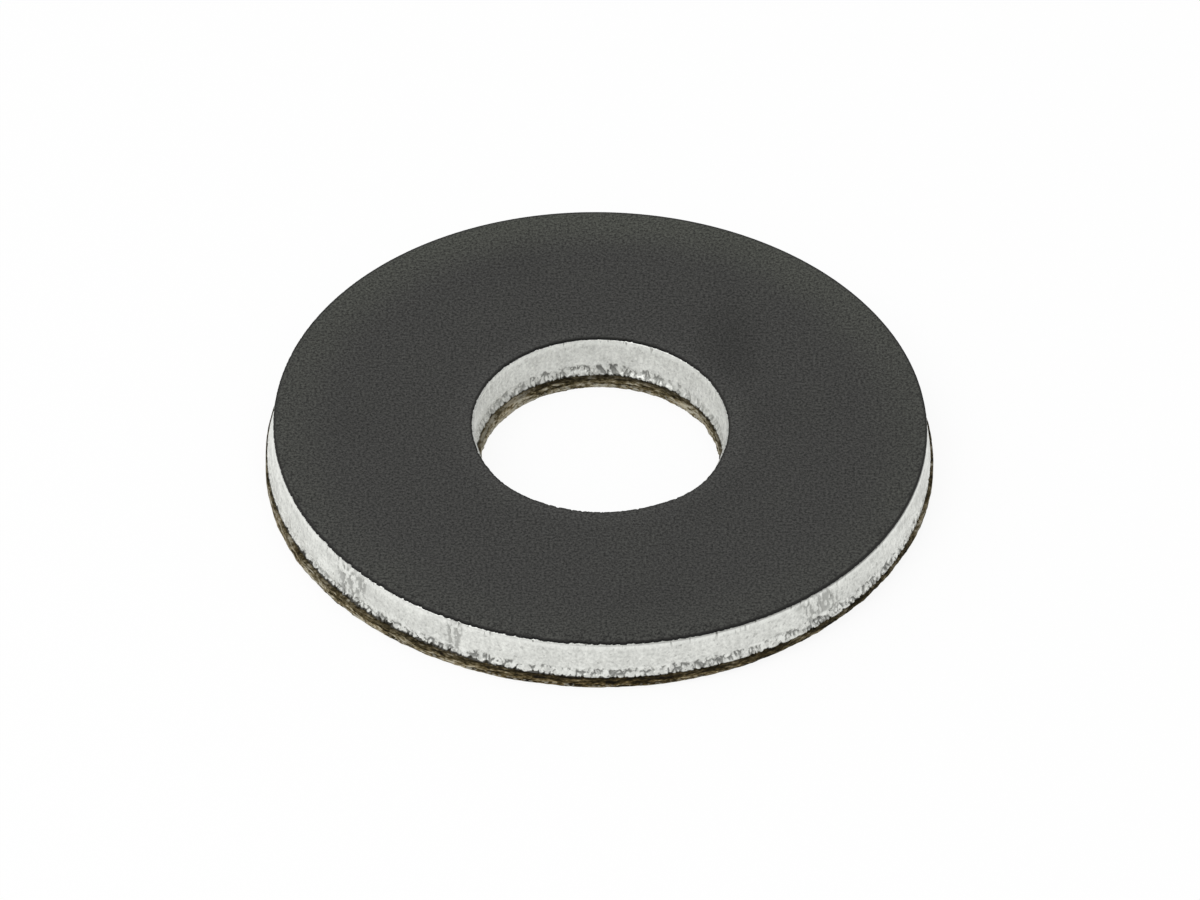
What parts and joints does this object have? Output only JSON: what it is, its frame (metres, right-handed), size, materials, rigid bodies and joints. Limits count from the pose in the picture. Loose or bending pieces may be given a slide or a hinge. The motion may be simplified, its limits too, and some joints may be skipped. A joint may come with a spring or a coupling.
{
  "type": "spacer washer",
  "caption": "Flat round spacer washer cut from a bonded laminate: dark facing film, bright metal core and brown fibre backing, with a plain central bolt hole.",
  "frame": {"origin": "centre of the hole on the underside of the fibre backing, where the washer rests", "axes": "+Z along the bolt hole, out of the dark face; X and Y lie in the plane of the washer"},
  "size_m": [0.024, 0.024, 0.002],
  "materials": {
    "dark_film": "matte charcoal with a fine grain",
    "cut_metal": "bright frosted cut edge, torn along its lower part",
    "brown_fibre": "brown pressed fibre, streaked along the cut"
  },
  "bodies": {
    "root": {"facing_film": "dark_film", "metal_core": "cut_metal", "fibre_backing": "brown_fibre"}
  },
  "joints": []
}
